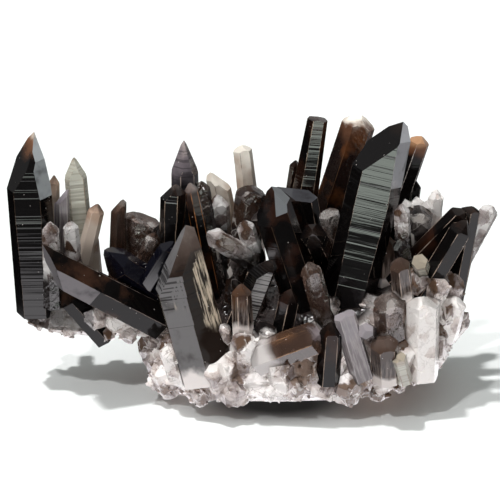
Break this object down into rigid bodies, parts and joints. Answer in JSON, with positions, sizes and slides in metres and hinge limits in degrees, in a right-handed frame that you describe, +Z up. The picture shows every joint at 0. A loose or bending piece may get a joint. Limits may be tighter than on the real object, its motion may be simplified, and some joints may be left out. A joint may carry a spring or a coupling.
{
  "type": "smoky quartz cluster",
  "caption": "Cluster of dark smoky quartz crystals with pointed heads, standing and leaning on a pale quartz druse that rests on its flat broken underside.",
  "frame": {"origin": "middle of the flat patch that the cluster rests on", "axes": "+Z up, +X along the cluster's longest extent to the right as seen from the front, +Y to the back"},
  "size_m": [0.1894, 0.105, 0.1083],
  "materials": {
    "smoky_black": "glossy, nearly black clear quartz with fine growth lines",
    "smoky_brown": "glossy, see-through brown quartz",
    "pale_quartz": "glossy, milky to clear quartz",
    "druse": "glittering crust of milky quartz"
  },
  "bodies": {
    "root": {"back_pale_left": "pale_quartz", "back_pale_right": "pale_quartz", "back_right_tall": "smoky_black", "back_tall_brown": "smoky_brown", "back_tall_left": "smoky_black", "blue_black_crystal": "smoky_black", "bright_point": "pale_quartz", "brown_chunk": "smoky_brown", "brown_low": "smoky_brown", "brown_stub": "smoky_brown", "bubbly_point_left": "pale_quartz", "bubbly_point_right": "pale_quartz", "centre_cap": "smoky_black", "centre_lean": "smoky_black", "centre_striated": "smoky_black", "clear_block": "smoky_brown", "clear_lean": "pale_quartz", "clear_tip": "pale_quartz", "cream_hexagon": "pale_quartz", "cream_low": "pale_quartz", "crossing_bar": "smoky_black", "dark_chunk": "smoky_black", "dark_plate": "smoky_black", "druse": "druse", "fluted_point": "smoky_brown", "front_point": "smoky_brown", "front_sword": "smoky_black", "glitter_knob": "smoky_brown", "great_crystal": "smoky_black", "inner_brown": "smoky_brown", "inner_dark": "smoky_black", "leaning_dark_crystal": "smoky_black", "left_tower": "smoky_black", "lilac_blade": "pale_quartz", "lilac_point": "pale_quartz", "lilac_stub": "pale_quartz", "low_dark_point": "smoky_black", "lying_smoky": "smoky_brown", "mid_left_point": "smoky_brown", "mid_spire": "smoky_black", "pale_blade": "pale_quartz", "pale_chunk": "pale_quartz", "pale_grey_back": "pale_quartz", "pink_crystal": "pale_quartz", "rear_dark": "smoky_black", "rear_edge": "smoky_black", "rear_left": "smoky_black", "rear_middle": "smoky_brown", "rear_right": "smoky_brown", "ribbed_column": "smoky_black", "right_dark_lower": "smoky_black", "right_dark_upper": "smoky_black", "right_edge_crystal": "smoky_black", "rough_dark_point": "smoky_black", "small_brown_point": "smoky_brown", "smoky_chunk": "smoky_brown", "speckled_block": "smoky_black", "under_bar": "smoky_black", "white_block": "pale_quartz"}
  },
  "joints": []
}
